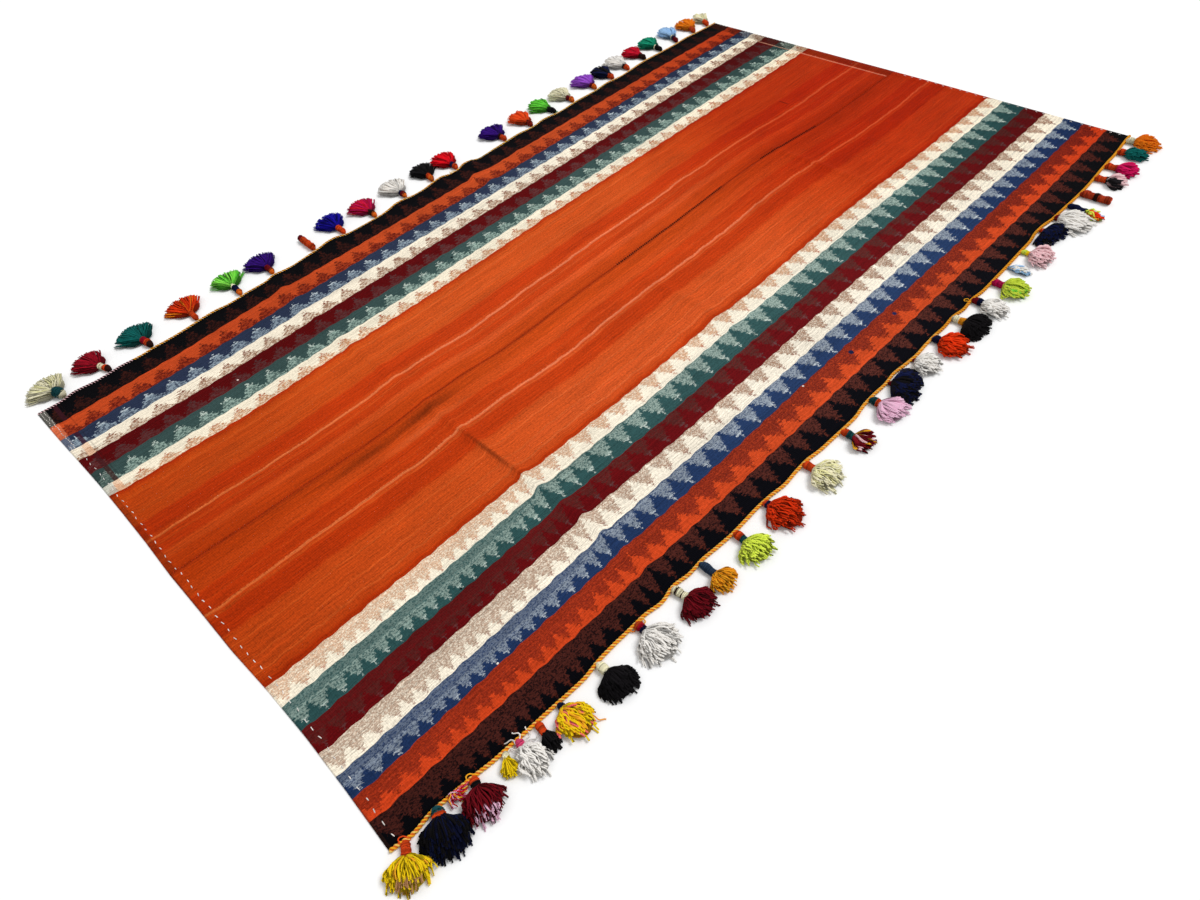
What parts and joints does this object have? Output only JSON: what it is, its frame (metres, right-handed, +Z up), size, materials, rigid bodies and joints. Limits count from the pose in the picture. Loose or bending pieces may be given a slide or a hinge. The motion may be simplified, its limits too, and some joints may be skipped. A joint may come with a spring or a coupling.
{
  "type": "jajim rug",
  "caption": "Flat-woven striped wool rug: two long strips sewn edge to edge, turned hems at the ends, and yarn tassels tied to a plied cord along both long edges.",
  "frame": {"origin": "on the underside, in the middle of the cloth", "axes": "+Z up from the floor, +Y along the rug to its far hem, +X across it to the edge with the thick cord"},
  "size_m": [1.9219, 2.9105, 0.0259],
  "materials": {
    "woven_wool": "warp-faced striped wool, matt",
    "edge_whipping": "thin whipped wool cord, matt",
    "plied_cord": "two-ply wool cord, matt",
    "yarn_cream": "loose wool yarn, matt",
    "yarn_orange": "loose wool yarn, matt",
    "yarn_pale_blue": "loose wool yarn, matt",
    "yarn_emerald": "loose wool yarn, matt",
    "yarn_crimson": "loose wool yarn, matt",
    "yarn_white": "loose wool yarn, matt",
    "yarn_navy": "loose wool yarn, matt",
    "yarn_lilac": "loose wool yarn, matt",
    "yarn_green": "loose wool yarn, matt",
    "yarn_rust": "loose wool yarn, matt",
    "yarn_indigo": "loose wool yarn, matt",
    "yarn_red": "loose wool yarn, matt",
    "yarn_black": "loose wool yarn, matt",
    "yarn_magenta": "loose wool yarn, matt",
    "yarn_royal": "loose wool yarn, matt",
    "yarn_teal": "loose wool yarn, matt",
    "yarn_maroon": "loose wool yarn, matt",
    "yarn_pink": "loose wool yarn, matt",
    "yarn_lime": "loose wool yarn, matt",
    "yarn_red_orange": "loose wool yarn, matt",
    "yarn_mustard": "loose wool yarn, matt",
    "yarn_yellow": "loose wool yarn, matt"
  },
  "bodies": {
    "root": {"panel_left": "woven_wool", "panel_right": "woven_wool", "cord_left": "edge_whipping", "cord_right": "plied_cord", "tassel_l01": "yarn_cream", "tassel_l02": "yarn_orange", "tassel_l03": "yarn_pale_blue", "tassel_l04": "yarn_emerald", "tassel_l05": "yarn_crimson", "tassel_l06": "yarn_white", "tassel_l07": "yarn_navy", "tassel_l08": "yarn_lilac", "tassel_l09": "yarn_cream", "tassel_l10": "yarn_green", "tassel_l11": "yarn_rust", "tassel_l12": "yarn_indigo", "tassel_l13": "yarn_red", "tassel_l14": "yarn_black", "tassel_l15": "yarn_white", "tassel_l16": "yarn_magenta", "tassel_l17": "yarn_royal", "tassel_l18": "yarn_rust", "tassel_l19": "yarn_indigo", "tassel_l20": "yarn_green", "tassel_l21": "yarn_rust", "tassel_l22": "yarn_teal", "tassel_l23": "yarn_maroon", "tassel_l24": "yarn_cream", "tassel_r01": "yarn_orange", "tassel_r02": "yarn_teal", "tassel_r03": "yarn_magenta", "tassel_r04": "yarn_pink", "tassel_r05": "yarn_rust", "tassel_r06": "yarn_lime", "tassel_r07": "yarn_white", "tassel_r08": "yarn_navy", "tassel_r09": "yarn_pink", "tassel_r10": "yarn_pale_blue", "tassel_r11": "yarn_lime", "tassel_r12": "yarn_white", "tassel_r13": "yarn_black", "tassel_r14": "yarn_red_orange", "tassel_r15": "yarn_white", "tassel_r16": "yarn_navy", "tassel_r17": "yarn_pink", "tassel_r18": "yarn_maroon", "tassel_r19": "yarn_cream", "tassel_r20": "yarn_red_orange", "tassel_r21": "yarn_lime", "tassel_r22": "yarn_mustard", "tassel_r23": "yarn_maroon", "tassel_r24": "yarn_white", "tassel_r25": "yarn_black", "tassel_r26": "yarn_yellow", "tassel_r27": "yarn_black", "tassel_r28": "yarn_white", "tassel_r29": "yarn_yellow", "tassel_r30": "yarn_maroon", "tassel_r31": "yarn_navy", "tassel_r32": "yarn_yellow"}
  },
  "joints": []
}
